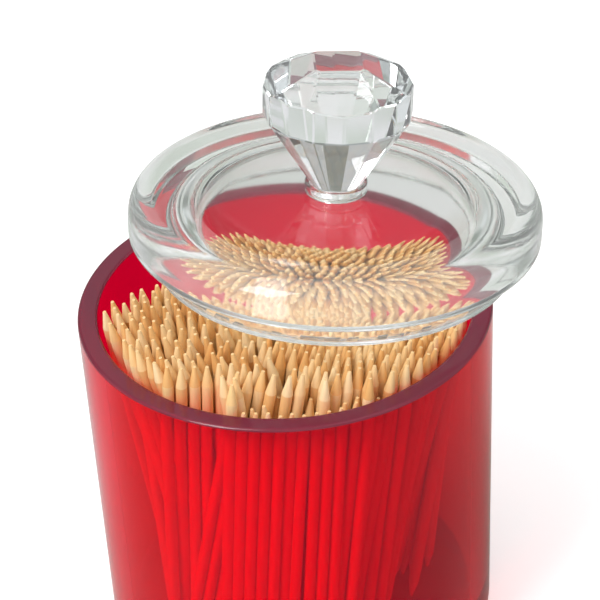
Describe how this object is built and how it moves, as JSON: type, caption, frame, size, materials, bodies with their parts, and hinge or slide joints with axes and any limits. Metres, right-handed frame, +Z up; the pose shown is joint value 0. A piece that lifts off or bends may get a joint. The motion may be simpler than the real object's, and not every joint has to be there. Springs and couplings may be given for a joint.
{
  "type": "toothpick dispenser",
  "caption": "Red transparent tumbler full of wooden toothpicks, with a clear lid lying askew on its rim and a cut-crystal knob on the lid.",
  "frame": {"origin": "centre of the tumbler's flat base", "axes": "+Z up along the tumbler's axis, -Y to the front, +X to the right seen from the front"},
  "size_m": [0.0866, 0.0906, 0.1105],
  "materials": {
    "red_acrylic": "clear red acrylic, polished",
    "clear_acrylic": "clear acrylic, polished",
    "clear_collar": "clear acrylic, polished",
    "cured_adhesive": "whitish clear adhesive",
    "cut_crystal": "faceted and polished",
    "toothpick_wood": "raw pale wood, turned and pointed"
  },
  "bodies": {
    "tumbler": {"jar": "red_acrylic", "front_toothpicks": "toothpick_wood", "middle_toothpicks": "toothpick_wood", "left_toothpicks": "toothpick_wood", "right_toothpicks": "toothpick_wood", "heaped_toothpicks": "toothpick_wood", "back_toothpicks": "toothpick_wood"},
    "lid": {"lid": "clear_acrylic", "knob_collar": "clear_collar", "knob_adhesive": "cured_adhesive", "cut_knob": "cut_crystal"},
    "toothpick": {"loose_toothpick": "toothpick_wood"}
  },
  "joints": [
    {"name": "lid_lift", "type": "slide", "parent": "tumbler", "child": "lid", "axis": [0, 0, 1], "range_m": [0, 0.06]},
    {"name": "toothpick_draw", "type": "slide", "parent": "tumbler", "child": "toothpick", "axis": [0.0559, -0.0534, 0.997], "range_m": [0, 0.072]}
  ]
}
